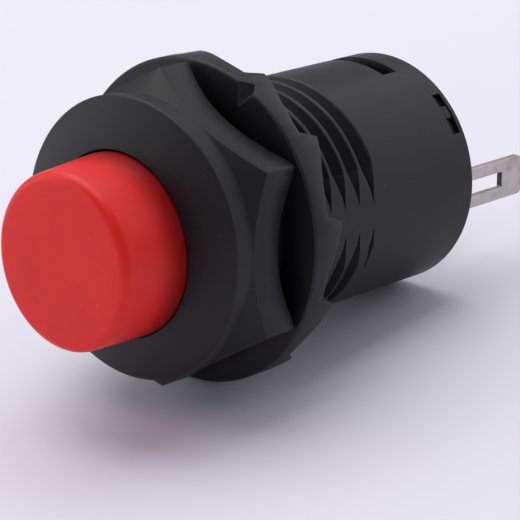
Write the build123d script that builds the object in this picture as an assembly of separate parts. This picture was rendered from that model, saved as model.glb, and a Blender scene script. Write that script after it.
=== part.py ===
from build123d import *
import math
import os

# Panel pushbutton switch: red cap, hex front bezel, threaded neck with a toothed lock nut, round
# barrel, and inside it a plunger that closes a bridge contact onto two solder lugs.
#
# The switch's axis is Y. The cap faces -Y and the lugs point along +Y. The origin is on the axis,
# in the plane where the bezel's skirt seats on a panel. Angles about the axis run from +X to +Z.

os.makedirs("parts", exist_ok=True)

# ---- Clearances ----
SLIDE_GAP = 0.07  # radial gap of a sliding guide
CAP_GAP = 0.2  # radial gap between the cap and the bore that it slides in
NUT_GAP = 0.03  # radial gap between the thread's crest and what screws onto it
FIT_GAP = 0.05  # gap around what is slotted or latched together
CONTACT_GAP = 0.03  # gap left between closed contacts, and at the cap's stop
SPRING_GAP = 0.4  # radial gap between a spring and what it is guided by

# ---- Barrel and threaded neck ----
BARREL_D = 16.0
BARREL_LENGTH = 10.05
BARREL_EDGE = 0.35  # bevel of the barrel's rear edge
BARREL_WALL = 1.25  # barrel's wall round the terminal base
SHOULDER_EDGE = 0.15  # bevel of the barrel's front edge
THREAD_STEP = 0.05  # how far the thread's crest lies below the barrel's surface
THREAD_DEPTH = 0.6  # depth of the fine thread, pitch 1.41, that the neck's surface stands for
RELIEF_WIDTH = 1.0  # undercut between the thread and the barrel, as deep as the thread
NECK_LENGTH = 9.95  # neck from the seat plane back to the barrel
NECK_WALL = 1.82  # neck's wall from the thread's crest to the cap's bore
FLAT_ANGLE = 0.0  # direction that the neck's first flat faces
FLAT_DEPTH = 0.65  # depth of the two flats below the crest
WEB_BACK = 4.2  # rear face of the neck's inner web, behind the seat plane
WEB_WALL = 1.2
CHAMBER_STEP = 0.3  # radial shoulder that the base seats on

# ---- Latch windows in the barrel ----
WINDOW_ANGLE = 90.0
WINDOW_SPAN = 42.0  # degrees
WINDOW_WIDTH = 1.1
WINDOW_FROM_REAR = 3.25  # middle of the window, ahead of the barrel's rear edge
WINDOW_LATCH_DROP = 0.6  # how far a latch stays below the barrel's surface
SLOT_ANGLE = 38.0
SLOT_SPAN = 22.0
SLOT_WIDTH = 0.8
SLOT_FROM_REAR = 1.1
SLOT_LATCH_DROP = 0.3

# ---- Front bezel ----
NOSE_WALL = 1.19  # nose's wall round the neck
NOSE_DRAFT = 0.12  # how much smaller the nose's radius is at the hex
NOSE_DEPTH = 1.65  # from the nose's rim to the hex
NOSE_RISE = 0.95  # how far the cone of the nose rises from its rim to the cap
NOSE_EDGE = 0.14
NOSE_SHELF = 0.7  # from the nose's rim to the shelf that the neck's front end seats on
HEX_STEP = 0.05  # how far the hex's flats stand out of the nose
HEX_ANGLE = 30.0  # direction of one of the hex's corners
SKIRT_DEPTH = 3.75
SKIRT_SLOPE = 38.5  # degrees between the front cone and the axis
HOLLOW_RIM = 0.22  # seat land left at the hex's corners
HOLLOW_DEPTH = 2.1
HOLLOW_FLOOR = 0.62  # radial width of the hollow's floor

# ---- Lock nut ----
NUT_MARGIN = 0.19  # how far the nut's rim stands out past the hex's corners
NUT_STANDOFF = 0.3  # from the seat plane to the nut's front face
NUT_BODY = 1.54
NUT_EDGE = 0.12
NUT_LAND = 0.62  # radial width of the plain ring inside the teeth
TOOTH_COUNT = 12
TOOTH_HEIGHT = 1.03
TOOTH_ANGLE = 67.5  # direction of one tooth's highest line
TOOTH_FLANK = 3.0  # degrees taken by the steep flank
NOTCH_ANGLE = 63.0
NOTCH_DEPTH = 0.9
NOTCH_LENGTH = 1.5

# ---- Cap ----
CAP_REACH = 11.3  # from the seat plane forward to the cap's face
CAP_EDGE = 1.0  # radius of the cap's front edge
EDGE_STEPS = 3  # cones that stand for that radius
CAP_FACE_WALL = 1.4
CAP_SIDE_WALL = 1.1
BOSS_WALL = 1.0
BOSS_LENGTH = 6.4
SOCKET_DEPTH = 5.2

# ---- Plunger and its springs ----
STEM_D = 4.0
COLLAR_RIM = 1.2  # how far the collar stands out of the stem
COLLAR_WALL = 1.0
SPINDLE_D = 2.0
SPINDLE_TIP = 2.5  # spindle left behind its retainer
PRESS_TRAVEL = 2.5
RETURN_WIRE = 0.6
RETURN_TURNS = 4
CONTACT_WIRE = 0.4
CONTACT_TURNS = 3
WIRE_SIDES = 4  # sides of the springs' wire

# ---- Contacts and lugs ----
BRIDGE_AHEAD = 3.4  # from the plunger's collar to the bridge
BRIDGE_WALL = 0.6
BRIDGE_WIDTH = 3.6
BRIDGE_MARGIN = 1.1  # bridge beyond each contact's middle
BRIDGE_TRAVEL = 2.0
BRIDGE_CORNER = 0.9
RETAINER_RIM = 1.2
RETAINER_WALL = 0.5
CONTACT_D = 1.8
CONTACT_HEIGHT = 0.5
LUG_WALL = 0.5
LUG_WIDTH = 2.8
LUG_MARGIN = 0.14  # gap between a lug's outer corner and the chamber's wall
LUG_DROP = 1.2  # axis to the middle of a lug's width, along Z
LUG_LENGTH = 8.5  # lug behind the barrel
LUG_CORNER = 0.6
LUG_BEND = 0.35
PAD_LENGTH = 2.2
EYE_WIDTH = 1.1
EYE_LENGTH = 3.7
EYE_MARGIN = 2.35  # from the lug's tip to the eye

# ---- Terminal base ----
BASE_RECESS = 0.6  # base's back ahead of the barrel's rear edge
BASE_LIP = 0.67  # from the base's front face to the shoulder that it seats on
BASE_HOLE_ROOM = 0.7  # radial room for the spindle in the base
BASE_HOLE_END = 1.0  # room past the spindle's tip when the cap is pressed

# ---- Worked out from the sizes above ----
BARREL_R = BARREL_D / 2
BASE_BORE_R = BARREL_R - BARREL_WALL
CHAMBER_R = BASE_BORE_R - CHAMBER_STEP
CREST_R = BARREL_R - THREAD_STEP
ROOT_R = CREST_R - THREAD_DEPTH
BORE_R = CREST_R - NECK_WALL
CAP_R = BORE_R - CAP_GAP
SCREW_R = CREST_R + NUT_GAP
NOSE_R = SCREW_R + NOSE_WALL
HEX_NECK_R = NOSE_R - NOSE_DRAFT
HEX_CORNER_R = (HEX_NECK_R + HEX_STEP) / math.cos(math.pi / 6)
NUT_R = HEX_CORNER_R + NUT_MARGIN
REAR = NECK_LENGTH + BARREL_LENGTH
WEB_FRONT = WEB_BACK - WEB_WALL
WINDOW_Y = REAR - WINDOW_FROM_REAR
SLOT_Y = REAR - SLOT_FROM_REAR
NUT_FRONT = NUT_STANDOFF
NUT_BACK = NUT_FRONT + NUT_BODY
SKIRT_FRONT = -SKIRT_DEPTH
NOSE_RIM = SKIRT_FRONT - NOSE_DEPTH
NOSE_TIP = NOSE_RIM - NOSE_RISE
NECK_FRONT = NOSE_RIM + NOSE_SHELF
CAP_FACE = -CAP_REACH
CAP_CEILING = CAP_FACE + CAP_FACE_WALL
CAP_END = WEB_FRONT - PRESS_TRAVEL - CONTACT_GAP
STEM_R = STEM_D / 2
SPINDLE_R = SPINDLE_D / 2
BOSS_END = CAP_CEILING + BOSS_LENGTH
SOCKET_TOP = BOSS_END - SOCKET_DEPTH
COLLAR_BACK = WEB_BACK + COLLAR_WALL
BRIDGE_FRONT = COLLAR_BACK + BRIDGE_AHEAD
BRIDGE_BACK = BRIDGE_FRONT + BRIDGE_WALL
RETAINER_BACK = BRIDGE_BACK + RETAINER_WALL
SPINDLE_END = RETAINER_BACK + SPINDLE_TIP
CONTACT_FACE = BRIDGE_BACK + CONTACT_HEIGHT
PAD_FRONT = CONTACT_FACE + BRIDGE_TRAVEL + CONTACT_GAP + CONTACT_HEIGHT
PAD_BACK = PAD_FRONT + LUG_WALL
BASE_SEAT = PAD_BACK + BASE_LIP
BASE_BACK = REAR - BASE_RECESS
LUG_EDGE = math.sqrt((CHAMBER_R - LUG_MARGIN) ** 2 - (LUG_DROP + LUG_WIDTH / 2) ** 2)
LUG_OFFSET = LUG_EDGE - LUG_WALL / 2
LUG_ANGLE = -math.degrees(math.atan2(LUG_DROP, LUG_OFFSET))
LUG_INNER = LUG_EDGE - PAD_LENGTH
LUG_TIP = REAR + LUG_LENGTH
CONTACT_RADIUS = (LUG_INNER + CONTACT_D / 2) / math.cos(math.radians(LUG_ANGLE))
OVERCUT = 1.0  # how far a cutting solid stands past what it cuts


def at_angle(shape, degrees):
    """The shape turned about the switch's axis, from +X towards +Z."""
    return Rot(0, -degrees, 0) * shape


def turned(*points):
    """A solid of revolution about the axis from (radius, y) points."""
    outline = make_face(Polyline(*points, close=True))
    return revolve(outline, Axis.Y)


def tube(outer_r, inner_r, front, back):
    """A ring about the axis between two planes."""
    return turned((inner_r, front), (outer_r, front), (outer_r, back), (inner_r, back))


def rod(radius, front, back):
    """A round bar on the axis between two planes."""
    return turned((0, front), (radius, front), (radius, back), (0, back))


def sector(inner_r, outer_r, front, back, angle, span):
    """A piece of a ring that covers a span of degrees about an angle."""
    reach = 2 * outer_r
    half = math.radians(span / 2)
    wedge = Plane.XZ * make_face(
        Polyline((0, 0), (reach * math.cos(half), reach * math.sin(half)),
                 (reach * math.cos(half), -reach * math.sin(half)), close=True)
    )
    block = Pos(0, back, 0) * extrude(wedge, back - front)
    return tube(outer_r, inner_r, front, back) & at_angle(block, angle)


def spring(mean_r, wire, front, back, turns):
    """A compression spring between two planes, wound about the axis."""
    height = back - front - wire
    path = Helix(pitch=height / turns, height=height, radius=mean_r)
    path = Pos(0, front + wire / 2, 0) * Rot(-90, 0, 0) * path
    section = Plane(origin=path @ 0, z_dir=path % 0) * RegularPolygon(wire / 2, WIRE_SIDES)
    return sweep(section, path=path, is_frenet=True)


def neck_flat():
    """The block that cuts one flat, facing +X, along the whole neck."""
    length = NECK_LENGTH - NECK_FRONT
    block = Box(2 * OVERCUT, length, BARREL_D)
    return Pos(CREST_R - FLAT_DEPTH + OVERCUT, NECK_LENGTH - length / 2, 0) * block


def barrel_housing():
    """Neck and barrel in one moulding, bored from both ends to a web that guides the plunger."""
    body = turned(
        (0, NECK_FRONT), (CREST_R, NECK_FRONT), (CREST_R, NECK_LENGTH - RELIEF_WIDTH),
        (ROOT_R, NECK_LENGTH - RELIEF_WIDTH), (ROOT_R, NECK_LENGTH),
        (BARREL_R - SHOULDER_EDGE, NECK_LENGTH), (BARREL_R, NECK_LENGTH + SHOULDER_EDGE),
        (BARREL_R, REAR - BARREL_EDGE), (BARREL_R - BARREL_EDGE, REAR), (0, REAR),
    )
    for side in (FLAT_ANGLE, FLAT_ANGLE + 180):
        body -= at_angle(neck_flat(), side)
    body -= rod(BORE_R, NECK_FRONT - OVERCUT, WEB_FRONT)
    body -= rod(STEM_R + SLIDE_GAP, WEB_FRONT, WEB_BACK)
    body -= rod(CHAMBER_R, WEB_BACK, BASE_SEAT)
    body -= rod(BASE_BORE_R, BASE_SEAT, REAR + OVERCUT)
    for side in (WINDOW_ANGLE, WINDOW_ANGLE + 180):
        body -= window(WINDOW_Y, WINDOW_WIDTH, side, WINDOW_SPAN)
    for side in (SLOT_ANGLE, SLOT_ANGLE + 180):
        body -= window(SLOT_Y, SLOT_WIDTH, side, SLOT_SPAN)
    return body


def window(middle, width, angle, span):
    """The opening of one latch window through the barrel's wall."""
    return sector(
        BASE_BORE_R - FIT_GAP, BARREL_R + OVERCUT, middle - width / 2, middle + width / 2,
        angle, span,
    )


def latch(middle, width, angle, span, drop):
    """The bump on the base that fills one window, a gap smaller all round."""
    play = math.degrees(FIT_GAP / BARREL_R)
    return sector(
        BASE_BORE_R - 3 * FIT_GAP, BARREL_R - drop, middle - width / 2 + FIT_GAP,
        middle + width / 2 - FIT_GAP, angle, span - 2 * play,
    )


def front_bezel():
    """Coned nose ring and hollow hex skirt, one moulding that screws onto the neck's front."""
    cone_run = (HEX_CORNER_R - HEX_NECK_R) / math.tan(math.radians(SKIRT_SLOPE))
    floor_r = SCREW_R + HOLLOW_FLOOR
    nose = turned(
        (BORE_R, NOSE_TIP), (NOSE_R - NOSE_EDGE, NOSE_RIM), (NOSE_R, NOSE_RIM + NOSE_EDGE),
        (HEX_NECK_R, SKIRT_FRONT), (floor_r, -HOLLOW_DEPTH), (SCREW_R, -HOLLOW_DEPTH),
        (SCREW_R, NECK_FRONT), (BORE_R, NECK_FRONT),
    )
    skirt = turned(
        (SCREW_R, SKIRT_FRONT), (HEX_NECK_R, SKIRT_FRONT), (HEX_CORNER_R, SKIRT_FRONT + cone_run),
        (HEX_CORNER_R, 0), (HEX_CORNER_R - HOLLOW_RIM, 0), (floor_r, -HOLLOW_DEPTH),
        (SCREW_R, -HOLLOW_DEPTH),
    )
    prism = Plane.XZ * RegularPolygon(HEX_CORNER_R, 6)
    prism = extrude(prism, SKIRT_DEPTH + OVERCUT, both=True)
    return nose + (skirt & at_angle(prism, HEX_ANGLE))


def lock_nut():
    """Round nut, flat in front and with a ring of saw teeth behind, that clamps the panel."""
    nut = turned(
        (SCREW_R, NUT_FRONT), (NUT_R - NUT_EDGE, NUT_FRONT), (NUT_R, NUT_FRONT + NUT_EDGE),
        (NUT_R, NUT_BACK), (SCREW_R, NUT_BACK),
    )
    ring = tube(NUT_R, SCREW_R + NUT_LAND, NUT_FRONT + NUT_EDGE, NUT_BACK + TOOTH_HEIGHT)
    pitch_angle = 360 / TOOTH_COUNT
    for index in range(TOOTH_COUNT):
        nut += ring & at_angle(saw_tooth(pitch_angle), TOOTH_ANGLE + index * pitch_angle)
    for side in (NOTCH_ANGLE, NOTCH_ANGLE + 180):
        nut -= at_angle(spanner_notch(), side)
    return nut


def saw_tooth(pitch_angle):
    """One tooth as a radial prism with its highest line at +X: steep one way, sloped the other."""
    flank = NUT_R * math.sin(math.radians(TOOTH_FLANK))
    ramp = NUT_R * math.sin(math.radians(pitch_angle - TOOTH_FLANK))
    root = NUT_BACK - NUT_BODY / 2
    outline = Plane.YZ * make_face(
        Polyline((root, flank), (NUT_BACK, flank), (NUT_BACK + TOOTH_HEIGHT, 0),
                 (NUT_BACK, -ramp), (root, -ramp), close=True)
    )
    return extrude(outline, NUT_R + OVERCUT)


def spanner_notch():
    """A V notch at +X in the nut's front rim that runs out towards the bore."""
    tilt = math.degrees(math.atan2(NOTCH_DEPTH, NOTCH_LENGTH))
    length = 4 * NOTCH_LENGTH
    wedge = Rot(45, 0, 0) * Box(length, 2 * NOTCH_DEPTH, 2 * NOTCH_DEPTH)
    wedge = Pos(length / 2, -math.sqrt(2) * NOTCH_DEPTH, 0) * wedge
    return Pos(NUT_R - NOTCH_LENGTH, NUT_FRONT, 0) * Rot(0, 0, tilt) * wedge


def red_cap():
    """Hollow cap with a rounded edge and a boss that takes the plunger's stem."""
    inner_r = CAP_R - CAP_SIDE_WALL
    step = 90 / EDGE_STEPS
    bends = [math.radians(index * step) for index in range(EDGE_STEPS + 1)]
    edge = [
        (CAP_R - CAP_EDGE * (1 - math.sin(bend)), CAP_FACE + CAP_EDGE * (1 - math.cos(bend)))
        for bend in bends
    ]
    return turned(
        (0, CAP_FACE), *edge, (CAP_R, CAP_END), (inner_r, CAP_END),
        (inner_r, CAP_CEILING), (STEM_R + BOSS_WALL, CAP_CEILING), (STEM_R + BOSS_WALL, BOSS_END),
        (STEM_R, BOSS_END), (STEM_R, SOCKET_TOP), (0, SOCKET_TOP),
    )


def plunger():
    """Stem that carries the cap, a collar that stops on the web, and the bridge's spindle."""
    collar_r = STEM_R + COLLAR_RIM
    return turned(
        (0, SOCKET_TOP), (STEM_R, SOCKET_TOP), (STEM_R, WEB_BACK), (collar_r, WEB_BACK),
        (collar_r, COLLAR_BACK), (SPINDLE_R, COLLAR_BACK), (SPINDLE_R, SPINDLE_END),
        (0, SPINDLE_END),
    )


def bridge_retainer():
    """Push-on washer that keeps the bridge on the spindle."""
    return tube(SPINDLE_R + RETAINER_RIM, SPINDLE_R, BRIDGE_BACK, RETAINER_BACK)


def return_spring():
    """Spring that pushes the cap out, between the cap's ceiling and the web."""
    mean_r = CAP_R - CAP_SIDE_WALL - SPRING_GAP - RETURN_WIRE / 2
    return spring(mean_r, RETURN_WIRE, CAP_CEILING, WEB_FRONT, RETURN_TURNS)


def contact_spring():
    """Spring that presses the bridge against its retainer, and the contacts together."""
    mean_r = SPINDLE_R + SPRING_GAP + CONTACT_WIRE / 2
    return spring(mean_r, CONTACT_WIRE, COLLAR_BACK, BRIDGE_FRONT, CONTACT_TURNS)


def contact_bridge():
    """Flat strip that joins the two lugs when it is pushed back."""
    length = 2 * (CONTACT_RADIUS + BRIDGE_MARGIN)
    strip = Pos(0, BRIDGE_FRONT + BRIDGE_WALL / 2, 0) * Box(length, BRIDGE_WALL, BRIDGE_WIDTH)
    strip = fillet(strip.edges().filter_by(Axis.Y), BRIDGE_CORNER)
    strip -= rod(SPINDLE_R + SLIDE_GAP, BRIDGE_FRONT - OVERCUT, BRIDGE_BACK + OVERCUT)
    return at_angle(strip, LUG_ANGLE)


def contact(front, angle):
    """Silver contact, a disc brazed to the strip that carries it."""
    disc = Pos(CONTACT_RADIUS, 0, 0) * rod(CONTACT_D / 2, front, front + CONTACT_HEIGHT)
    return at_angle(disc, angle)


def solder_lug(angle):
    """Bent strip: a pad for the fixed contact inside, and a blade with a wire eye outside."""
    blade_x = LUG_EDGE - LUG_WALL
    outline = make_face(
        Polyline((LUG_INNER, PAD_FRONT), (LUG_EDGE, PAD_FRONT), (LUG_EDGE, LUG_TIP),
                 (blade_x, LUG_TIP), (blade_x, PAD_BACK), (LUG_INNER, PAD_BACK), close=True)
    )
    lug = Pos(0, 0, -LUG_DROP) * extrude(outline, LUG_WIDTH / 2, both=True)
    bend = lug.edges().filter_by(Axis.Z).group_by(Axis.Y)[0].sort_by(Axis.X)[-1]
    lug = fillet(bend, LUG_BEND)
    tips = lug.edges().filter_by(Axis.X).group_by(Axis.Y)[-1]
    lug = fillet(tips, LUG_CORNER)
    eye_y = LUG_TIP - EYE_MARGIN - EYE_LENGTH / 2
    lug -= Pos(LUG_OFFSET, eye_y, -LUG_DROP) * Box(2 * OVERCUT, EYE_LENGTH, EYE_WIDTH)
    return at_angle(lug, angle)


def terminal_base():
    """Plug that closes the barrel, holds the lugs and latches in the barrel's windows."""
    base = turned(
        (0, PAD_BACK), (CHAMBER_R - FIT_GAP, PAD_BACK), (CHAMBER_R - FIT_GAP, BASE_SEAT),
        (BASE_BORE_R - FIT_GAP, BASE_SEAT), (BASE_BORE_R - FIT_GAP, BASE_BACK), (0, BASE_BACK),
    )
    for side in (WINDOW_ANGLE, WINDOW_ANGLE + 180):
        base += latch(WINDOW_Y, WINDOW_WIDTH, side, WINDOW_SPAN, WINDOW_LATCH_DROP)
    for side in (SLOT_ANGLE, SLOT_ANGLE + 180):
        base += latch(SLOT_Y, SLOT_WIDTH, side, SLOT_SPAN, SLOT_LATCH_DROP)
    base -= rod(SPINDLE_R + BASE_HOLE_ROOM, PAD_BACK - OVERCUT,
                SPINDLE_END + PRESS_TRAVEL + BASE_HOLE_END)
    slot = Pos(LUG_OFFSET, (PAD_BACK + BASE_BACK) / 2, -LUG_DROP) * Box(
        LUG_WALL + 2 * FIT_GAP, BASE_BACK - PAD_BACK + 2 * OVERCUT, LUG_WIDTH + 2 * FIT_GAP
    )
    for side in (0, 180):
        base -= at_angle(slot, side)
    return base


def write(name, shape):
    """One STEP file for one piece."""
    export_step(shape, f"parts/{name}.step")


write("barrel_housing", barrel_housing())
write("front_bezel", front_bezel())
write("lock_nut", lock_nut())
write("red_cap", red_cap())
write("plunger", plunger())
write("bridge_retainer", bridge_retainer())
write("return_spring", return_spring())
write("contact_spring", contact_spring())
write("contact_bridge", contact_bridge())
write("terminal_base", terminal_base())
for hand, turn in (("right", 0), ("left", 180)):
    angle = LUG_ANGLE + turn
    write(f"moving_contact_{hand}", contact(BRIDGE_BACK, angle))
    write(f"fixed_contact_{hand}", contact(PAD_FRONT - CONTACT_HEIGHT, angle))
    write(f"solder_lug_{hand}", solder_lug(turn))
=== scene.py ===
import logging
import math
from collections.abc import Iterator
from contextlib import contextmanager
from dataclasses import dataclass, field, replace
from enum import Enum

import bpy
from mathutils import Matrix, Vector


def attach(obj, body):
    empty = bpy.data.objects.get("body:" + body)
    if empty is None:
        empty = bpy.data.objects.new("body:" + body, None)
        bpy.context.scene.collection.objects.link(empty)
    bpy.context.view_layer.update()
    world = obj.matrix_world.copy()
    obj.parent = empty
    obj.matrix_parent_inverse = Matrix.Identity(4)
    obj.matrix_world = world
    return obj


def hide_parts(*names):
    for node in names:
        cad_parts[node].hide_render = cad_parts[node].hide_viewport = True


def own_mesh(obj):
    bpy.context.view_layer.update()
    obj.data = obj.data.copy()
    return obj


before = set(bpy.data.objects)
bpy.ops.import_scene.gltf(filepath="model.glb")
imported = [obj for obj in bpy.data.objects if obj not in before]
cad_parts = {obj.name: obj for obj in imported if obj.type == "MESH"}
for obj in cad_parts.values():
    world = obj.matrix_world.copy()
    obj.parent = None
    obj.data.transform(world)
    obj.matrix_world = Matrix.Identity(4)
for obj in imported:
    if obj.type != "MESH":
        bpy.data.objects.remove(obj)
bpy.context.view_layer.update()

log = logging.getLogger("pushbutton_switch")
logging.basicConfig(level=logging.INFO, format="%(name)s: %(message)s")

MM = 0.001
WELD_GAP = 0.002 * MM
FLAT_DEGREES = 0.5
FINE_STEPS = 192
LEAST_STEPS = 4
Colour = tuple[float, float, float]
Place = tuple[float, float, float]
Profile = list[tuple[float, float]]


class Slot(Enum):
    """The record's material slots."""

    BLACK = "black_plastic"
    RED = "red_plastic"
    NATURAL = "natural_plastic"
    SPRING = "spring_steel"
    TINNED = "tinned_brass"
    SILVER = "contact_silver"


class Body(Enum):
    """The bodies that the modelled pieces ride."""

    HOUSING = "housing"
    BUTTON = "button"
    NUT = "nut"


# ---------------------------------------------------------------- finishes


class Nodes:
    """Short calls for building one material's node tree."""

    def __init__(self, name: str) -> None:
        """Starts an empty tree with a Principled shader and an output.

        Args:
            name: Name of the material.
        """
        self.material = bpy.data.materials.new(name)
        self.material.use_nodes = True
        self.tree = self.material.node_tree
        self.tree.nodes.clear()
        self.output = self.tree.nodes.new("ShaderNodeOutputMaterial")
        self.shader = self.tree.nodes.new("ShaderNodeBsdfPrincipled")
        self.link(self.shader.outputs["BSDF"], self.output.inputs["Surface"])
        self.place = self.tree.nodes.new("ShaderNodeTexCoord").outputs["Object"]

    def link(self, source: bpy.types.NodeSocket, target: bpy.types.NodeSocket) -> None:
        """Joins two sockets.

        Args:
            source: The output that is read.
            target: The input that it feeds.
        """
        self.tree.links.new(source, target)

    def set(self, **values: float) -> None:
        """Sets the shader's constant inputs, with underscores for spaces in their names."""
        for key, value in values.items():
            self.shader.inputs[key.replace("_", " ")].default_value = value

    def stretched(self, scale: Place) -> bpy.types.NodeSocket:
        """Object coordinates scaled differently along each axis.

        Args:
            scale: Factor along X, Y and Z.

        Returns:
            The mapped coordinate.
        """
        mapping = self.tree.nodes.new("ShaderNodeMapping")
        mapping.inputs["Scale"].default_value = scale
        self.link(self.place, mapping.inputs["Vector"])
        return mapping.outputs["Vector"]

    def along(self, axis: int) -> bpy.types.NodeSocket:
        """The object coordinate along one axis.

        Args:
            axis: 0 for X, 1 for Y and 2 for Z.

        Returns:
            The coordinate, in metres.
        """
        node = self.tree.nodes.new("ShaderNodeSeparateXYZ")
        self.link(self.place, node.inputs["Vector"])
        return node.outputs[axis]

    def noise(self, size_mm: float, detail: float = 3.0, roughness: float = 0.5,
              place: bpy.types.NodeSocket | None = None) -> bpy.types.NodeSocket:
        """A noise whose blobs are about one size across.

        Args:
            size_mm: Size of the largest blobs, in millimetres.
            detail: Octaves of finer noise.
            roughness: Strength of each finer octave.
            place: Coordinate to read, the object's own if left out.

        Returns:
            The noise, around 0.5.
        """
        node = self.tree.nodes.new("ShaderNodeTexNoise")
        node.inputs["Scale"].default_value = 1 / (size_mm * MM)
        node.inputs["Detail"].default_value = detail
        node.inputs["Roughness"].default_value = roughness
        self.link(place or self.place, node.inputs["Vector"])
        return node.outputs["Fac"]

    def ramp(self, value: bpy.types.NodeSocket, low: float, high: float, first: float = 0.0,
             last: float = 1.0) -> bpy.types.NodeSocket:
        """Maps a range of a value smoothly onto another range.

        Args:
            value: What is mapped.
            low: Value that gives first.
            high: Value that gives last.
            first: Result at and below low.
            last: Result at and above high.

        Returns:
            The mapped value.
        """
        node = self.tree.nodes.new("ShaderNodeMapRange")
        node.interpolation_type = "SMOOTHSTEP"
        node.inputs["From Min"].default_value = low
        node.inputs["From Max"].default_value = high
        node.inputs["To Min"].default_value = first
        node.inputs["To Max"].default_value = last
        self.link(value, node.inputs["Value"])
        return node.outputs["Result"]

    def mix(self, factor: bpy.types.NodeSocket, first: bpy.types.NodeSocket | Colour,
            second: bpy.types.NodeSocket | Colour) -> bpy.types.NodeSocket:
        """Blends two colours by a factor.

        Args:
            factor: 0 gives the first colour, 1 the second.
            first: A colour or a colour socket.
            second: A colour or a colour socket.

        Returns:
            The blended colour.
        """
        node = self.tree.nodes.new("ShaderNodeMix")
        node.data_type = "RGBA"
        self.link(factor, node.inputs["Factor"])
        for value, socket in ((first, node.inputs["A"]), (second, node.inputs["B"])):
            if isinstance(value, tuple):
                socket.default_value = (*value, 1.0)
            else:
                self.link(value, socket)
        return node.outputs["Result"]

    def bump(self, height: bpy.types.NodeSocket, depth_mm: float, strength: float = 1.0) -> None:
        """Adds a relief to the shader, on top of any that is there.

        Args:
            height: Height, from 0 to 1.
            depth_mm: What a height of 1 stands for, in millimetres.
            strength: How much of the relief shows.
        """
        node = self.tree.nodes.new("ShaderNodeBump")
        node.inputs["Distance"].default_value = depth_mm * MM
        node.inputs["Strength"].default_value = strength
        self.link(height, node.inputs["Height"])
        normal = self.shader.inputs["Normal"]
        if normal.is_linked:
            self.link(normal.links[0].from_socket, node.inputs["Normal"])
        self.link(node.outputs["Normal"], normal)


@dataclass(frozen=True)
class MouldedPlastic:
    """Satin moulded plastic: fine eroded grain, flow mottling, edges paler from rubbing that
    also serve as a painted edge highlight, a little dust.
    """

    name: str
    colour: Colour
    # Paler edge colour: wear from rubbing, and also a painted edge highlight.
    rubbed_and_highlit: Colour
    roughness: float
    grain_mm: float = 0.09
    grain_depth_mm: float = 0.004
    mottle_mm: float = 3.5
    dull_share: float = 0.88
    dust: float = 0.15
    dust_mm: float = 0.16
    dust_colour: Colour = (0.42, 0.41, 0.4)
    gloss_mm: float = 1.8
    glossier: float = 0.02
    duller: float = 0.03
    wave_mm: float = 2.4
    wave_depth_mm: float = 0.006
    specular: float = 0.5
    worn_polish: float = 0.05
    worn_mottle_mm: float = 0.8

    def build(self) -> bpy.types.Material:
        """Makes the material.

        Returns:
            The finished material.
        """
        nodes = Nodes(self.name)
        mottle = nodes.noise(self.mottle_mm, detail=4.0, roughness=0.55)
        dull = tuple(self.dull_share * channel for channel in self.colour)
        colour = nodes.mix(nodes.ramp(mottle, low=0.3, high=0.7), dull, self.colour)
        specks = nodes.noise(self.dust_mm, detail=1.0)
        motes = nodes.ramp(specks, low=0.76, high=0.82, last=self.dust)
        colour = nodes.mix(motes, colour, self.dust_colour)
        nodes.link(colour, nodes.shader.inputs["Base Color"])
        patches = nodes.noise(self.gloss_mm, detail=5.0, roughness=0.6)
        gloss = nodes.ramp(patches, low=0.25, high=0.75, first=self.roughness - self.glossier,
                           last=self.roughness + self.duller)
        nodes.link(gloss, nodes.shader.inputs["Roughness"])
        nodes.set(Specular_IOR_Level=self.specular)
        grain = nodes.noise(self.grain_mm, detail=2.0, roughness=0.6)
        nodes.bump(grain, self.grain_depth_mm, strength=0.6)
        nodes.bump(nodes.noise(self.wave_mm, detail=2.0), self.wave_depth_mm, strength=0.5)
        return nodes.material

    def worn_and_highlit(self) -> "MouldedPlastic":
        """The same plastic where its edges are paler and smoother from rubbing, the paler colour
        also being a painted edge highlight.

        Returns:
            The finish for the marked edges.
        """
        return replace(self, name=self.name + "_rubbed_edge_and_highlight", colour=self.rubbed_and_highlit,
                       roughness=self.roughness - self.worn_polish,
                       mottle_mm=self.worn_mottle_mm)


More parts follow.
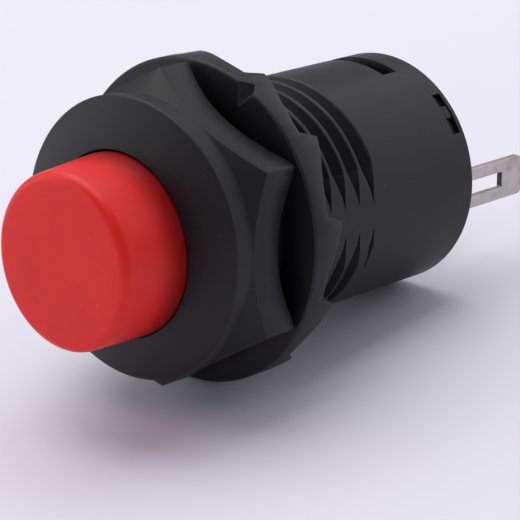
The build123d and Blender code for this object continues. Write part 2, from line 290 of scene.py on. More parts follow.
@dataclass(frozen=True)
class GlossPlastic:
    """Semi-gloss coloured plastic with a little light inside it, faint flow marks, dust, and
    painted shade with a painted reflection of the black bezel, darker towards the back along Y.
    """

    name: str
    colour: Colour
    deep: Colour
    roughness: float
    # Painted shade and painted reflection of the black bezel: the colour darkens to the shaded
    # colour from the first Y to the second.
    shaded: Colour
    painted_shade_from_y: float
    painted_shade_by_y: float
    flow_mm: float = 2.6
    dust: float = 0.35
    dust_mm: float = 0.2
    dust_colour: Colour = (0.8, 0.45, 0.42)
    gloss_mm: float = 1.1
    glossier: float = 0.04
    duller: float = 0.06
    grain_mm: float = 0.12
    grain_depth_mm: float = 0.002
    wave_mm: float = 2.2
    wave_depth_mm: float = 0.014
    inner_light: float = 0.12
    light_reach: float = 0.6 * MM
    light_spread: Colour = (1.0, 0.25, 0.2)
    specular: float = 0.3

    def build(self) -> bpy.types.Material:
        """Makes the material.

        Returns:
            The finished material.
        """
        nodes = Nodes(self.name)
        flow = nodes.noise(self.flow_mm, detail=4.0, roughness=0.55)
        colour = nodes.mix(nodes.ramp(flow, low=0.3, high=0.72), self.deep, self.colour)
        # Painted shade: the colour darkens towards the bezel along Y, standing for the bezel's
        # shadow and its dark reflection.
        shade = nodes.ramp(nodes.along(1), self.painted_shade_from_y, self.painted_shade_by_y)
        colour = nodes.mix(shade, colour, self.shaded)
        specks = nodes.noise(self.dust_mm, detail=1.0)
        motes = nodes.ramp(specks, low=0.77, high=0.82, last=self.dust)
        colour = nodes.mix(motes, colour, self.dust_colour)
        nodes.link(colour, nodes.shader.inputs["Base Color"])
        patches = nodes.noise(self.gloss_mm, detail=4.0)
        gloss = nodes.ramp(patches, low=0.3, high=0.7, first=self.roughness - self.glossier,
                           last=self.roughness + self.duller)
        nodes.link(gloss, nodes.shader.inputs["Roughness"])
        nodes.set(Subsurface_Weight=self.inner_light, Subsurface_Scale=self.light_reach,
                  Specular_IOR_Level=self.specular)
        nodes.shader.inputs["Subsurface Radius"].default_value = self.light_spread
        nodes.bump(nodes.noise(self.grain_mm, detail=2.0), self.grain_depth_mm, strength=0.5)
        nodes.bump(nodes.noise(self.wave_mm, detail=2.0), self.wave_depth_mm, strength=0.5)
        return nodes.material


@dataclass(frozen=True)
class PlatedMetal:
    """Bare or plated sheet and wire: drawn streaks, stains and a satin shine."""

    name: str
    colour: Colour
    stained: Colour
    roughness: float
    streak_mm: Place = (0.25, 4.0, 0.25)
    relief_mm: float = 0.004
    stain_mm: float = 1.6
    glossier: float = 0.06
    duller: float = 0.1

    def build(self) -> bpy.types.Material:
        """Makes the material.

        Returns:
            The finished material.
        """
        nodes = Nodes(self.name)
        streak_place = nodes.stretched(tuple(1 / size for size in self.streak_mm))
        streaks = nodes.noise(1.0, place=streak_place)
        spots = nodes.noise(self.stain_mm, detail=5.0, roughness=0.6)
        stains = nodes.ramp(spots, low=0.42, high=0.7)
        nodes.link(nodes.mix(stains, self.colour, self.stained),
                   nodes.shader.inputs["Base Color"])
        gloss = nodes.ramp(streaks, low=0.3, high=0.7, first=self.roughness - self.glossier,
                           last=self.roughness + self.duller)
        nodes.link(gloss, nodes.shader.inputs["Roughness"])
        nodes.set(Metallic=1.0)
        nodes.bump(streaks, self.relief_mm, strength=0.5)
        return nodes.material


@dataclass(frozen=True)
class Backdrop:
    """Pale studio sweep with a barely uneven tone."""

    name: str = "pale_sweep"
    colour: Colour = (0.765, 0.75, 0.83)
    shaded: Colour = (0.75, 0.735, 0.815)
    patch_mm: float = 60.0
    roughness: float = 0.9
    specular: float = 0.1

    def build(self) -> bpy.types.Material:
        """Makes the material.

        Returns:
            The finished material.
        """
        nodes = Nodes(self.name)
        tone = nodes.ramp(nodes.noise(self.patch_mm, detail=2.0), low=0.3, high=0.7)
        nodes.link(nodes.mix(tone, self.shaded, self.colour), nodes.shader.inputs["Base Color"])
        nodes.set(Roughness=self.roughness, Specular_IOR_Level=self.specular)
        return nodes.material


Recipe = MouldedPlastic | GlossPlastic | PlatedMetal

RECIPES: dict[Slot, Recipe] = {
    # The edge colours are wear from rubbing and also a painted edge highlight on every rounded
    # edge.
    Slot.BLACK: MouldedPlastic("black_moulded_plastic", colour=(0.0065, 0.006, 0.0075),
                               rubbed_and_highlit=(0.02, 0.02, 0.023), roughness=0.43, specular=0.3),
    # The cap's shaded colour is painted shade and a painted reflection of the black bezel, near
    # the bezel's mouth.
    Slot.RED: GlossPlastic("red_moulded_plastic", colour=(0.80, 0.016, 0.011),
                           deep=(0.74, 0.013, 0.009), roughness=0.34,
                           shaded=(0.25, 0.005, 0.006), painted_shade_from_y=-9.0 * MM,
                           painted_shade_by_y=-6.2 * MM),
    Slot.NATURAL: MouldedPlastic("natural_moulded_plastic", colour=(0.74, 0.72, 0.66),
                                 rubbed_and_highlit=(0.8, 0.79, 0.74), roughness=0.45, dust=0.05),
    Slot.SPRING: PlatedMetal("drawn_spring_steel", colour=(0.56, 0.56, 0.58),
                             stained=(0.42, 0.41, 0.41), roughness=0.3),
    Slot.TINNED: PlatedMetal("tin_plated_brass", colour=(0.50, 0.47, 0.45),
                             stained=(0.38, 0.345, 0.315), roughness=0.38),
    Slot.SILVER: PlatedMetal("silver_contact_face", colour=(0.86, 0.86, 0.84),
                             stained=(0.62, 0.6, 0.56), roughness=0.28,
                             streak_mm=(0.5, 0.5, 0.5), relief_mm=0.002),
}


@dataclass
class Finishes:
    """The materials on the switch, each built once and kept by its name."""

    built: dict[str, bpy.types.Material] = field(default_factory=dict)

    def material(self, recipe: Recipe) -> bpy.types.Material:
        """The recipe's material, built when it is first asked for.

        Args:
            recipe: What the material is made from.

        Returns:
            The material.
        """
        if recipe.name not in self.built:
            self.built[recipe.name] = recipe.build()
        return self.built[recipe.name]

    def dress(self, piece: bpy.types.Object, slot: Slot) -> None:
        """Gives a piece its finish, and the edge finish, paler from rubbing and also a painted
        edge highlight, on the faces that are marked for it.

        Args:
            piece: The piece, which has its rounded edges on the second material.
            slot: The record's slot.
        """
        recipe = RECIPES[slot]
        marks = [face.material_index for face in piece.data.polygons]
        piece.data.materials.clear()
        piece.data.materials.append(self.material(recipe))
        if isinstance(recipe, MouldedPlastic) and any(marks):
            piece.data.materials.append(self.material(recipe.worn_and_highlit()))
            piece.data.polygons.foreach_set("material_index", marks)


# ---------------------------------------------------------------- modelling by operators


class Bench:
    """Blender's operators in the few moves that the pieces are made with."""

    @staticmethod
    def deselect() -> None:
        """Leaves nothing selected."""
        if bpy.context.object and bpy.context.object.mode != "OBJECT":
            bpy.ops.object.mode_set(mode="OBJECT")
        bpy.ops.object.select_all(action="DESELECT")

    @staticmethod
    def take(piece: bpy.types.Object) -> None:
        """Makes one piece the selected and active one.

        Args:
            piece: The piece.
        """
        Bench.deselect()
        piece.select_set(True)
        bpy.context.view_layer.objects.active = piece

    @staticmethod
    @contextmanager
    def editing(piece: bpy.types.Object) -> Iterator[None]:
        """Holds a piece in edit mode with all of it selected.

        Args:
            piece: The piece.

        Yields:
            Nothing, while the piece is being edited.
        """
        Bench.take(piece)
        bpy.ops.object.mode_set(mode="EDIT")
        bpy.ops.mesh.select_all(action="SELECT")
        yield
        bpy.ops.object.mode_set(mode="OBJECT")

    @staticmethod
    def weld(piece: bpy.types.Object, gap: float, flat_degrees: float) -> None:
        """Joins corners that nearly touch, then makes flat faces whole.

        Args:
            piece: The piece.
            gap: Corners closer than this are joined.
            flat_degrees: Faces that turn by less than this are merged.
        """
        with Bench.editing(piece):
            bpy.ops.mesh.remove_doubles(threshold=gap)
            bpy.ops.mesh.dissolve_limited(angle_limit=math.radians(flat_degrees), delimit=set())

    @staticmethod
    def copy_of(node: str, name: str) -> bpy.types.Object:
        """A copy of a CAD node with its triangles joined and its flat faces made whole.

        Args:
            node: Name of the CAD node.
            name: Name of the copy.

        Returns:
            The copy, with its own mesh.
        """
        piece = bpy.data.objects.new(name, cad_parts[node].data.copy())
        bpy.context.scene.collection.objects.link(piece)
        Bench.weld(piece, WELD_GAP, FLAT_DEGREES)
        return piece

    @staticmethod
    def finish_modifiers(piece: bpy.types.Object) -> None:
        """Applies every modifier of a piece, in order.

        Args:
            piece: The piece.
        """
        Bench.take(piece)
        for modifier in list(piece.modifiers):
            bpy.ops.object.modifier_apply(modifier=modifier.name)

    @staticmethod
    def combine(piece: bpy.types.Object, other: bpy.types.Object, operation: str) -> None:
        """Cuts, joins or trims a piece by another solid and removes that solid.

        Args:
            piece: What is changed.
            other: The solid that changes it.
            operation: DIFFERENCE, UNION or INTERSECT.
        """
        modifier = piece.modifiers.new(operation.lower(), "BOOLEAN")
        modifier.operation = operation
        modifier.solver = "EXACT"
        modifier.object = other
        Bench.finish_modifiers(piece)
        bpy.data.objects.remove(other)

    @staticmethod
    def soften(piece: bpy.types.Object, width_mm: float, above_degrees: float = 28.0,
               segments: int = 2) -> None:
        """Rounds a piece's sharp edges, marks the roundings and smooths the shading.

        Args:
            piece: The piece.
            width_mm: Width of the rounding, in millimetres.
            above_degrees: Edges that turn by more than this are rounded.
            segments: Steps in the rounding.
        """
        # The bevel can mark its faces only where a second material slot exists.
        while len(piece.data.materials) < 2:
            piece.data.materials.append(None)
        bevel = piece.modifiers.new("edges", "BEVEL")
        bevel.width = width_mm * MM
        bevel.segments = segments
        bevel.limit_method = "ANGLE"
        bevel.angle_limit = math.radians(above_degrees)
        bevel.use_clamp_overlap = True
        # The roundings take the second material: paler from rubbing, also a painted edge
        # highlight.
        bevel.material = 1
        bevel.miter_outer = "MITER_ARC"
        Bench.finish_modifiers(piece)
        Bench.smooth(piece, above_degrees)

    @staticmethod
    def smooth(piece: bpy.types.Object, below_degrees: float = 30.0) -> None:
        """Smooths the shading over a piece's blunt edges.

        Args:
            piece: The piece.
            below_degrees: Edges that turn by less than this are smoothed.
        """
        Bench.take(piece)
        bpy.ops.object.shade_smooth_by_angle(angle=math.radians(below_degrees))

    @staticmethod
    def loop(name: str, points: list[Place]) -> bpy.types.Object:
        """A closed loop of edges.

        Args:
            name: Name of the loop and its mesh.
            points: Its corners, in order.

        Returns:
            The loop.
        """
        Bench.deselect()
        bpy.ops.mesh.primitive_circle_add(vertices=len(points), radius=MM)
        loop = bpy.context.object
        loop.name = name
        loop.data.name = name
        for vertex, point in zip(loop.data.vertices, points):
            vertex.co = point
        return loop

    @staticmethod
    def turned(name: str, outline: Profile, steps: int) -> bpy.types.Object:
        """Spins a closed outline about the switch's axis.

        Args:
            name: Name of the piece.
            outline: (radius, y) pairs in metres, in order round the section.
            steps: Divisions of the full turn.

        Returns:
            The turned piece.
        """
        piece = Bench.loop(name, [(radius, y, 0.0) for radius, y in outline])
        with Bench.editing(piece):
            bpy.ops.mesh.spin(steps=steps, angle=math.tau, center=(0, 0, 0), axis=(0, 1, 0),
                              use_auto_merge=True)
            bpy.ops.mesh.select_all(action="SELECT")
            bpy.ops.mesh.remove_doubles(threshold=WELD_GAP)
            bpy.ops.mesh.normals_make_consistent(inside=False)
        return piece

    @staticmethod
    def arc_block(name: str, radii: tuple[float, float], ends: tuple[float, float],
                  angle: float, span: float) -> bpy.types.Object:
        """A block that follows an arc about the switch's axis.

        Args:
            name: Name of the block.
            radii: Its inner and outer radius.
            ends: Its front and back along the axis.
            angle: Direction of its middle, in degrees from +X towards +Z.
            span: Degrees that it covers.

        Returns:
            The block as a closed solid.
        """
        start = math.radians(angle - span / 2)
        corners = [(radii[0], ends[0]), (radii[1], ends[0]), (radii[1], ends[1]),
                   (radii[0], ends[1])]
        block = Bench.loop(name, [(radius * math.cos(start), y, radius * math.sin(start))
                                  for radius, y in corners])
        with Bench.editing(block):
            bpy.ops.mesh.edge_face_add()
            bpy.ops.mesh.spin(steps=max(LEAST_STEPS, round(span)), angle=math.radians(span),
                              center=(0, 0, 0), axis=(0, 1, 0), dupli=False,
                              use_auto_merge=False)
            bpy.ops.mesh.select_all(action="SELECT")
            bpy.ops.mesh.normals_make_consistent(inside=False)
        return block

    @staticmethod
    def true_round(piece: bpy.types.Object, radii: tuple[float, ...],
                   within: float = 0.03 * MM, facing: float = 0.999) -> None:
        """Shades a piece's turned surfaces as truly round, whatever was cut into them.

        Args:
            piece: The piece, turned about the switch's axis.
            radii: Radii of those surfaces.
            within: How far from a radius a corner may be.
            facing: How nearly straight out from the axis its face has to look, up to 1.
        """
        mesh = piece.data
        normals = [(0.0, 0.0, 0.0)] * len(mesh.loops)
        for face in mesh.polygons:
            for corner in face.loop_indices:
                place = mesh.vertices[mesh.loops[corner].vertex_index].co
                out = Vector((place.x, 0.0, place.z))
                close = min(abs(out.length - radius) for radius in radii) < within
                if close and face.normal.dot(out.normalized()) > facing:
                    normals[corner] = tuple(out.normalized())
        mesh.normals_split_custom_set(normals)


# ---------------------------------------------------------------- the switch's pieces


@dataclass
class ThreadGroove:
    """The fine right-hand thread's groove, which runs out at the mould's parting lines."""

    crest_radius: float = 7.95 * MM
    depth: float = 0.75 * MM
    pitch: float = 1.41 * MM
    half_root: float = 0.14 * MM
    half_top: float = 0.555 * MM
    crest_round: float = 0.06 * MM
    round_depth: float = 0.05 * MM
    crest_gap: float = 0.012 * MM
    crest_rise: float = 0.04 * MM
    clearance: float = 0.3 * MM
    first_y: float = -3.43 * MM
    turns: float = 9.085
    steps_a_turn: int = 120
    lift: float = 0.83 * MM
    parting_gap: float = 5.6
    parting_fade: float = 27.0
    end_fade: float = 24.0
    least_width: float = 0.3

    def section(self) -> Profile:
        """The cutter's section where the groove is full.

        Returns:
            (radius, y) pairs, from the root's front corner out, back and in again.
        """
        root = self.crest_radius - self.depth
        slope = (self.half_top - self.half_root) / self.depth
        side = [
            (0.0, self.half_root),
            (self.depth - self.round_depth,
             self.half_root + slope * (self.depth - self.round_depth)),
            (self.depth, self.half_top + self.crest_round),
            (self.depth + self.crest_rise, self.pitch / 2 - self.crest_gap),
            (self.depth + self.clearance, self.pitch / 2 - self.crest_gap),
        ]
        front = [(root + height, self.first_y - half) for height, half in side]
        back = [(root + height, self.first_y + half) for height, half in reversed(side)]
        return front + back

    def fullness(self, degrees: float) -> float:
        """How full the groove is at a place along its coil.

        Args:
            degrees: Angle wound since the groove's start.

        Returns:
            From 0, where it has run out, to 1.
        """
        from_parting = min(degrees % 180, 180 - degrees % 180)
        full = (from_parting - self.parting_gap) / (self.parting_fade - self.parting_gap)
        left = (360 * self.turns - degrees) / self.end_fade
        rise = math.sin(max(0.0, min(1.0, full)) * math.pi / 2)
        return max(0.0, min(rise, left))

    def cutter(self) -> bpy.types.Object:
        """The coil that cuts the groove, lifted and narrowed where the groove runs out.

        Returns:
            A closed solid that starts at +X.
        """
        section = self.section()
        cutter = Bench.loop("thread_cutter", [(radius, y, 0.0) for radius, y in section])
        steps = round(self.turns * self.steps_a_turn)
        with Bench.editing(cutter):
            bpy.ops.mesh.edge_face_add()
            bpy.ops.mesh.spin(steps=steps, angle=-self.turns * math.tau, center=(0, 0, 0),
                              axis=(0, 1, 0), dupli=False, use_auto_merge=False)
        for index, vertex in enumerate(cutter.data.vertices):
            degrees = 360 * self.turns * (index // len(section)) / steps
            fullness = self.fullness(degrees)
            radius = math.hypot(vertex.co.x, vertex.co.z)
            grown = (radius + self.lift * (1 - fullness)) / radius
            vertex.co.x *= grown
            vertex.co.z *= grown
            across = (vertex.co.y - self.first_y) * max(self.least_width, fullness)
            vertex.co.y = self.first_y + across + self.pitch * degrees / 360
        with Bench.editing(cutter):
            bpy.ops.mesh.normals_make_consistent(inside=False)
        return cutter


@dataclass
class Opening:
    """A latch opening through the barrel's wall, and its twin on the far side."""

    front: float
    back: float
    angle: float
    span: float

    def cutters(self, inner: float, outer: float) -> list[bpy.types.Object]:
        """The two blocks that cut the opening and its twin.

        Args:
            inner: Radius that the blocks start at.
            outer: Radius that they reach.

        Returns:
            Two closed solids.
        """
        return [
            Bench.arc_block("opening_cutter", (inner, outer), (self.front, self.back),
                            self.angle + turn, self.span)
            for turn in (0, 180)
        ]


@dataclass
class ThreadedHousing:
    """Barrel and neck in one moulding, bored from both ends, with thread and latch openings."""

    neck_front: float = -4.7 * MM
    neck_back: float = 9.97 * MM
    taper_ahead: float = 1.0 * MM
    taper_behind: float = 0.3 * MM
    crest_radius: float = 7.95 * MM
    barrel_radius: float = 8.0 * MM
    rear: float = 20.0 * MM
    rear_edge: float = 0.35 * MM
    base_bore: float = 6.75 * MM
    base_seat: float = 13.4 * MM
    chamber: float = 6.45 * MM
    web_back: float = 4.2 * MM
    web_front: float = 3.0 * MM
    guide_bore: float = 2.07 * MM
    cap_bore: float = 6.13 * MM
    edge_mm: float = 0.07
    edges_above: float = 58.0
    cut_inside: float = 0.05 * MM
    cut_outside: float = 1.0 * MM
    crown_radii: tuple[float, float] = (7.71 * MM, 7.93 * MM)
    crown_gap: float = 0.03 * MM
    crown_turn: float = 0.6
    crown_share: float = 0.3
    crown_edge_mm: float = 0.05
    groove: ThreadGroove = field(default_factory=ThreadGroove)
    openings: tuple[Opening, ...] = (
        Opening(16.2 * MM, 17.65 * MM, 90.0, 42.0),
        Opening(18.5 * MM, 19.3 * MM, 38.0, 22.0),
    )

    def outline(self) -> Profile:
        """The housing's section.

        Returns:
            (radius, y) pairs from the neck's mouth out, back and in again.
        """
        return [
            (self.cap_bore, self.neck_front), (self.crest_radius, self.neck_front),
            (self.crest_radius, self.neck_back - self.taper_ahead),
            (self.barrel_radius, self.neck_back + self.taper_behind),
            (self.barrel_radius, self.rear - self.rear_edge),
            (self.barrel_radius - self.rear_edge, self.rear), (self.base_bore, self.rear),
            (self.base_bore, self.base_seat), (self.chamber, self.base_seat),
            (self.chamber, self.web_back), (self.guide_bore, self.web_back),
            (self.guide_bore, self.web_front), (self.cap_bore, self.web_front),
        ]

    def latch_crown(self, finishes: Finishes, opening: Opening) -> bpy.types.Object:
        """The flush middle of the latch in the rear slot, with its twin on the far side.

        Args:
            finishes: Where the finish comes from.
            opening: The slot that the latch stands in.

        Returns:
            The finished piece.
        """
        crowns = [
            Bench.arc_block("rear_latch_crown", self.crown_radii,
                            (opening.front + self.crown_gap, opening.back - self.crown_gap),
                            opening.angle + turn + self.crown_turn,
                            self.crown_share * opening.span)
            for turn in (0, 180)
        ]
        Bench.take(crowns[0])
        crowns[1].select_set(True)
        bpy.ops.object.join()
        Bench.soften(crowns[0], self.crown_edge_mm)
        finishes.dress(crowns[0], Slot.BLACK)
        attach(crowns[0], Body.HOUSING.value)
        return crowns[0]

    def build(self, finishes: Finishes) -> bpy.types.Object:
        """Makes, dresses and mounts the housing and the crown of its rear latch.

        Args:
            finishes: Where the finish comes from.

        Returns:
            The finished housing.
        """
        piece = Bench.turned("threaded_barrel_housing", self.outline(), FINE_STEPS)
        Bench.combine(piece, self.groove.cutter(), "DIFFERENCE")
        for opening in self.openings:
            for cutter in opening.cutters(self.base_bore - self.cut_inside,
                                          self.barrel_radius + self.cut_outside):
                Bench.combine(piece, cutter, "DIFFERENCE")
        Bench.soften(piece, self.edge_mm, self.edges_above)
        Bench.smooth(piece)
        Bench.true_round(piece, (self.crest_radius, self.barrel_radius))
        finishes.dress(piece, Slot.BLACK)
        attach(piece, Body.HOUSING.value)
        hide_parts("barrel_housing")
        self.latch_crown(finishes, self.openings[1])
        return piece


@dataclass
class FrontBezel:
    """Coned nose ring and hollow hex skirt in one moulding, every edge softly rounded."""

    bore: float = 6.13 * MM
    mouth_radius: float = 5.97 * MM
    mouth_back: float = 0.12 * MM
    lip_out: float = 0.1 * MM
    lip_back: float = 0.03 * MM
    mouth_drop: float = 0.14 * MM
    nose_tip: float = -6.35 * MM
    nose_rim: float = -5.4 * MM
    nose_radius: float = 9.17 * MM
    nose_round: float = 0.26 * MM
    nose_steps: int = 5
    neck_radius: float = 9.05 * MM
    sunk: float = 0.02 * MM
    sunk_back: float = 0.25 * MM
    root_step: float = 0.1 * MM
    root_y: float = -3.0 * MM
    skirt_front: float = -3.75 * MM
    corner_radius: float = 10.508 * MM
    cone_run: float = 1.3 * MM
    rim_land: float = 0.22 * MM
    hollow_depth: float = 2.1 * MM
    floor_radius: float = 8.6 * MM
    screw_radius: float = 7.98 * MM
    seat: float = -4.7 * MM
    overlap: float = 0.3 * MM
    sides: int = 6
    corner_angle: float = 30.0
    prism_depth: float = 20 * MM
    weld_gap: float = 0.03 * MM
    flat_degrees: float = 0.3
    edge_mm: float = 0.08

    def nose_outline(self) -> Profile:
        """The nose ring's section.

        Returns:
            (radius, y) pairs from the bore's mouth out and back.
        """
        slope = math.atan2(self.nose_rim - self.nose_tip, self.nose_radius - self.bore)
        middle = (self.nose_radius - self.nose_round, self.nose_rim + self.nose_round)
        points = [(self.mouth_radius, self.nose_tip + self.mouth_back),
                  (self.mouth_radius + self.lip_out, self.nose_tip + self.lip_back)]
        steps = self.nose_steps
        for step in range(steps + 1):
            turn = math.radians(90) * step / steps + slope * (1 - step / steps)
            points.append((middle[0] + self.nose_round * math.sin(turn),
                           middle[1] - self.nose_round * math.cos(turn)))
        points += [
            (self.neck_radius - self.sunk, self.skirt_front + self.sunk_back),
            (self.neck_radius - self.root_step, self.root_y),
            (self.floor_radius, -self.hollow_depth), (self.screw_radius, -self.hollow_depth),
            (self.screw_radius, self.seat), (self.bore, self.seat),
        ]
        return points

    def skirt(self) -> bpy.types.Object:
        """The hollow skirt, a coned ring trimmed to a hexagon.

        Returns:
            The skirt as a closed solid.
        """
        corner, front, overlap = self.corner_radius, self.skirt_front, self.overlap
        slope = self.cone_run / (corner - self.neck_radius)
        ring = Bench.turned("hex_skirt", [
            (self.screw_radius, front), (self.neck_radius - overlap, front - overlap * slope),
            (corner + overlap, front + self.cone_run + overlap * slope),
            (corner + overlap, 0.0), (corner - self.rim_land, 0.0),
            (self.floor_radius, -self.hollow_depth), (self.screw_radius, -self.hollow_depth),
        ], FINE_STEPS)
        Bench.deselect()
        turn = math.radians(90 - self.corner_angle)
        bpy.ops.mesh.primitive_cylinder_add(vertices=self.sides, radius=corner,
                                            depth=self.prism_depth,
                                            rotation=(math.radians(90), turn, 0))
        prism = bpy.context.object
        bpy.ops.object.transform_apply(location=True, rotation=True, scale=True)
        Bench.combine(ring, prism, "INTERSECT")
        return ring

    def build(self, finishes: Finishes) -> bpy.types.Object:
        """Makes, dresses and mounts the bezel.

        Args:
            finishes: Where the finish comes from.

        Returns:
            The finished piece.
        """
        skirt = self.skirt()
        piece = Bench.turned("hex_front_bezel", self.nose_outline(), FINE_STEPS)
        for vertex in piece.data.vertices:
            radius = math.hypot(vertex.co.x, vertex.co.z)
            if radius < self.bore and vertex.co.y < self.nose_rim:
                vertex.co.z -= self.mouth_drop
        Bench.combine(piece, skirt, "UNION")
        Bench.weld(piece, self.weld_gap, self.flat_degrees)
        Bench.soften(piece, self.edge_mm)
        finishes.dress(piece, Slot.BLACK)
        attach(piece, Body.HOUSING.value)
        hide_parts("front_bezel")
        return piece


@dataclass
class EdgedPiece:
    """A CAD piece whose sharp edges are rounded as moulding or stamping leaves them."""

    node: str
    name: str
    body: Body
    slot: Slot
    edge_mm: float
    above_degrees: float = 28.0

    def build(self, finishes: Finishes) -> bpy.types.Object:
        """Makes, dresses and mounts the piece.

        Args:
            finishes: Where the finish comes from.

        Returns:
            The finished piece.
        """
        piece = Bench.copy_of(self.node, self.name)
        self.shape(piece)
        Bench.soften(piece, self.edge_mm, self.above_degrees)
        finishes.dress(piece, self.slot)
        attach(piece, self.body.value)
        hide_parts(self.node)
        return piece

    def shape(self, piece: bpy.types.Object) -> None:
        """Gives the copy what its form needs before its edges are rounded.

        Args:
            piece: The copy.
        """


@dataclass
class ToothedNut(EdgedPiece):
    """The lock nut, whose saw teeth dip in a curve from tip to root along the rim."""

    rim: float = 10.65 * MM
    root_y: float = 1.83 * MM
    first_tip: float = 7.5
    tooth: float = 30.0
    flank: float = 3.0
    dips: tuple[float, ...] = (0.26, 0.40, 0.47, 0.48, 0.42, 0.31, 0.18, 0.07, 0.0)

    def dip(self, degrees: float) -> float:
        """How far the rim dips at one place.

        Args:
            degrees: Angle about the axis, from +X towards +Z.

        Returns:
            The dip in metres.
        """
        past = (degrees - self.first_tip) % self.tooth
        if past < self.flank:
            return self.dips[0] * MM * past / self.flank
        place = (past - self.flank) / (self.tooth - self.flank) * (len(self.dips) - 1)
        step = min(int(place), len(self.dips) - 2)
        return MM * (self.dips[step] + (place - step) * (self.dips[step + 1] - self.dips[step]))

    def shape(self, piece: bpy.types.Object) -> None:
        """Dips the teeth along the rim.

        Args:
            piece: The copy of the CAD nut.
        """
        for vertex in piece.data.vertices:
            place = vertex.co
            if math.hypot(place.x, place.z) > self.rim and place.y > self.root_y:
                place.y -= self.dip(math.degrees(math.atan2(place.z, place.x)))


@dataclass
class CoiledSpring(EdgedPiece):
    """A CAD spring with a mesh of its own; the real one closes up as the button is pressed, from
    the end that is pushed, but it is not bent here.
    """

    closes: float = 0.0
    held_at_back: bool = True

    def build(self, finishes: Finishes) -> bpy.types.Object:
        """Makes, dresses and mounts the spring.

        Args:
            finishes: Where the finish comes from.

        Returns:
            The finished piece.
        """
        piece = super().build(finishes)
        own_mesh(piece)
        return piece


@dataclass
class Cap:
    """The pressed cap: rounded front edge, slight draft, and a lean where it stands out."""

    radius: float = 5.93 * MM
    front_radius: float = 5.71 * MM
    face_y: float = -11.3 * MM
    mouth_y: float = -6.35 * MM
    rear_y: float = 0.47 * MM
    ceiling_y: float = -9.9 * MM
    wall: float = 1.1 * MM
    edge: float = 0.6 * MM
    boss_radius: float = 3.0 * MM
    socket_radius: float = 2.0 * MM
    boss_end: float = -3.5 * MM
    socket_top: float = -8.7 * MM
    half_crown: float = 0.01 * MM
    crown: float = 0.02 * MM
    straight_run: float = 0.1 * MM
    hidden_run: float = 0.6 * MM
    drop: float = 0.17 * MM
    lean: float = 0.033
    lean_behind: float = 0.2 * MM
    edge_steps: int = 8
    steps: int = 128

    def outline(self) -> Profile:
        """The cap's section.

        Returns:
            (radius, y) pairs from the face's middle out, back and in again.
        """
        points = [(0.0, self.face_y), (self.front_radius / 2, self.face_y + self.half_crown)]
        for step in range(self.edge_steps + 1):
            bend = math.radians(90 * step / self.edge_steps)
            points.append((self.front_radius - self.edge * (1 - math.sin(bend)),
                           self.face_y + self.crown + self.edge * (1 - math.cos(bend))))
        inner = self.radius - self.wall
        hidden = self.radius - self.drop
        points += [
            (self.radius, self.mouth_y), (self.radius, self.mouth_y + self.straight_run),
            (hidden, self.mouth_y + self.hidden_run), (hidden, self.rear_y),
            (inner, self.rear_y),
            (inner, self.ceiling_y), (self.boss_radius, self.ceiling_y),
            (self.boss_radius, self.boss_end), (self.socket_radius, self.boss_end),
            (self.socket_radius, self.socket_top), (0.0, self.socket_top),
        ]
        return points

    def build(self, finishes: Finishes) -> bpy.types.Object:
        """Makes, dresses and mounts the cap.

        Args:
            finishes: Where the finish comes from.

        Returns:
            The finished piece.
        """
        piece = Bench.turned("pressed_cap", self.outline(), self.steps)
        for vertex in piece.data.vertices:
            ahead = self.mouth_y - vertex.co.y
            if ahead > -self.lean_behind:
                vertex.co.z -= self.drop + self.lean * ahead
        Bench.smooth(piece)
        finishes.dress(piece, Slot.RED)
        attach(piece, Body.BUTTON.value)
        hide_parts("red_cap")
        return piece


@dataclass(frozen=True)
class Softbox:
    """One square soft lamp that faces the switch."""

    name: str
    direction: Place
    distance: float
    size: float
    watts: float

    def hang(self, centre: Place) -> None:
        """Hangs the lamp in its direction, seen from the switch.

        Args:
            centre: What the lamp faces.
        """
        data = bpy.data.lights.new(self.name, "AREA")
        data.shape = "SQUARE"
        data.size = self.size
        data.energy = self.watts
        lamp = bpy.data.objects.new(self.name, data)
        way = Vector(self.direction).normalized()
        lamp.location = Vector(centre) + self.distance * way
        lamp.rotation_euler = way.to_track_quat("Z", "Y").to_euler()
        bpy.context.scene.collection.objects.link(lamp)


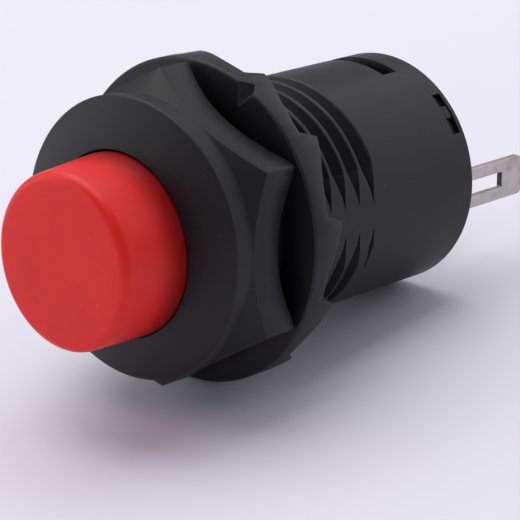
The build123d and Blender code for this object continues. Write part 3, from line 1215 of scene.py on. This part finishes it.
@dataclass
class Studio:
    """Camera, soft light and the pale sweep that the switch lies on."""

    eye: Place = (106.9 * MM, -112.2 * MM, 42.9 * MM)
    ahead: Place = (-0.6407, 0.7144, -0.2815)
    across: Place = (0.7445, 0.6676, 0.0)
    lens: float = 173.08
    sensor: float = 36.0
    near: float = 0.005
    nut_rest: tuple[float, float] = (2.9 * MM, -10.72 * MM)
    barrel_rest: tuple[float, float] = (19.7 * MM, -8.02 * MM)
    sweep: float = 1.6
    centre: Place = (0.0, 6.0 * MM, 0.0)
    sky: Colour = (0.95, 0.94, 1.0)
    sky_strength: float = 0.39
    lamps: tuple[Softbox, ...] = (
        Softbox("overhead_softbox", (-0.3, 0.0, 1.0), distance=0.8, size=0.85, watts=5.3),
        Softbox("rear_softbox", (0.3, 1.0, 0.42), distance=0.9, size=1.2, watts=3.7),
        Softbox("left_fill", (-1.0, -0.7, 0.35), distance=0.9, size=0.8, watts=2.2),
    )

    def camera(self) -> None:
        """Stands the camera at its place and makes it the scene's."""
        ahead = Vector(self.ahead).normalized()
        across = Vector(self.across).normalized()
        up = across.cross(ahead)
        turn = Matrix((across, up, -ahead)).transposed()
        data = bpy.data.cameras.new("camera")
        data.lens = self.lens
        data.sensor_width = self.sensor
        data.clip_start = self.near
        camera = bpy.data.objects.new("camera", data)
        camera.matrix_world = Matrix.Translation(self.eye) @ turn.to_4x4()
        bpy.context.scene.collection.objects.link(camera)
        bpy.context.scene.camera = camera

    def floor(self) -> None:
        """Lays the sweep under the nut's rim and the barrel's rear edge."""
        (front_y, front_z), (back_y, back_z) = self.nut_rest, self.barrel_rest
        slope = math.atan2(back_z - front_z, back_y - front_y)
        Bench.deselect()
        bpy.ops.mesh.primitive_plane_add(size=self.sweep, location=(0, front_y, front_z),
                                         rotation=(slope, 0, 0))
        floor = bpy.context.object
        floor.name = "studio_floor"
        bpy.ops.object.transform_apply(location=True, rotation=True, scale=True)
        floor.data.materials.append(Backdrop().build())

    def light(self) -> None:
        """Lights the scene softly from above and behind, with a fill from the front."""
        world = bpy.data.worlds.new("studio")
        world.use_nodes = True
        background = world.node_tree.nodes["Background"]
        background.inputs["Color"].default_value = (*self.sky, 1.0)
        background.inputs["Strength"].default_value = self.sky_strength
        bpy.context.scene.world = world
        for lamp in self.lamps:
            lamp.hang(self.centre)
        bpy.context.scene.view_settings.view_transform = "Standard"

    def build(self) -> None:
        """Sets up the whole studio."""
        self.camera()
        self.floor()
        self.light()


# Inner pieces that stay as the CAD gives them and only get their finish.
PLAIN_NODES: dict[str, Slot] = {
    "terminal_base": Slot.BLACK,
    "plunger": Slot.NATURAL,
    "bridge_retainer": Slot.SPRING,
    "contact_bridge": Slot.TINNED,
    "moving_contact_right": Slot.SILVER,
    "moving_contact_left": Slot.SILVER,
    "fixed_contact_right": Slot.SILVER,
    "fixed_contact_left": Slot.SILVER,
}


def main() -> None:
    """Builds the studio, then the switch piece by piece, and reports each piece."""
    finishes = Finishes()
    Studio().build()
    pieces = [
        ThreadedHousing(),
        FrontBezel(),
        ToothedNut("lock_nut", "toothed_lock_nut", Body.NUT, Slot.BLACK, edge_mm=0.08),
        EdgedPiece("solder_lug_right", "stamped_lug_right", Body.HOUSING, Slot.TINNED,
                   edge_mm=0.05),
        EdgedPiece("solder_lug_left", "stamped_lug_left", Body.HOUSING, Slot.TINNED,
                   edge_mm=0.05),
        CoiledSpring("return_spring", "coiled_return_spring", Body.HOUSING, Slot.SPRING,
                     edge_mm=0.08, closes=2.53 * MM),
        CoiledSpring("contact_spring", "coiled_contact_spring", Body.BUTTON, Slot.SPRING,
                     edge_mm=0.05, closes=0.52 * MM, held_at_back=False),
        Cap(),
    ]
    for piece in pieces:
        made = piece.build(finishes)
        log.info("%s: %d faces", made.name, len(made.data.polygons))
    for node, slot in PLAIN_NODES.items():
        finishes.dress(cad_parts[node], slot)
        log.info("%s: finished in %s", node, slot.value)


if __name__ == "__main__":
    main()
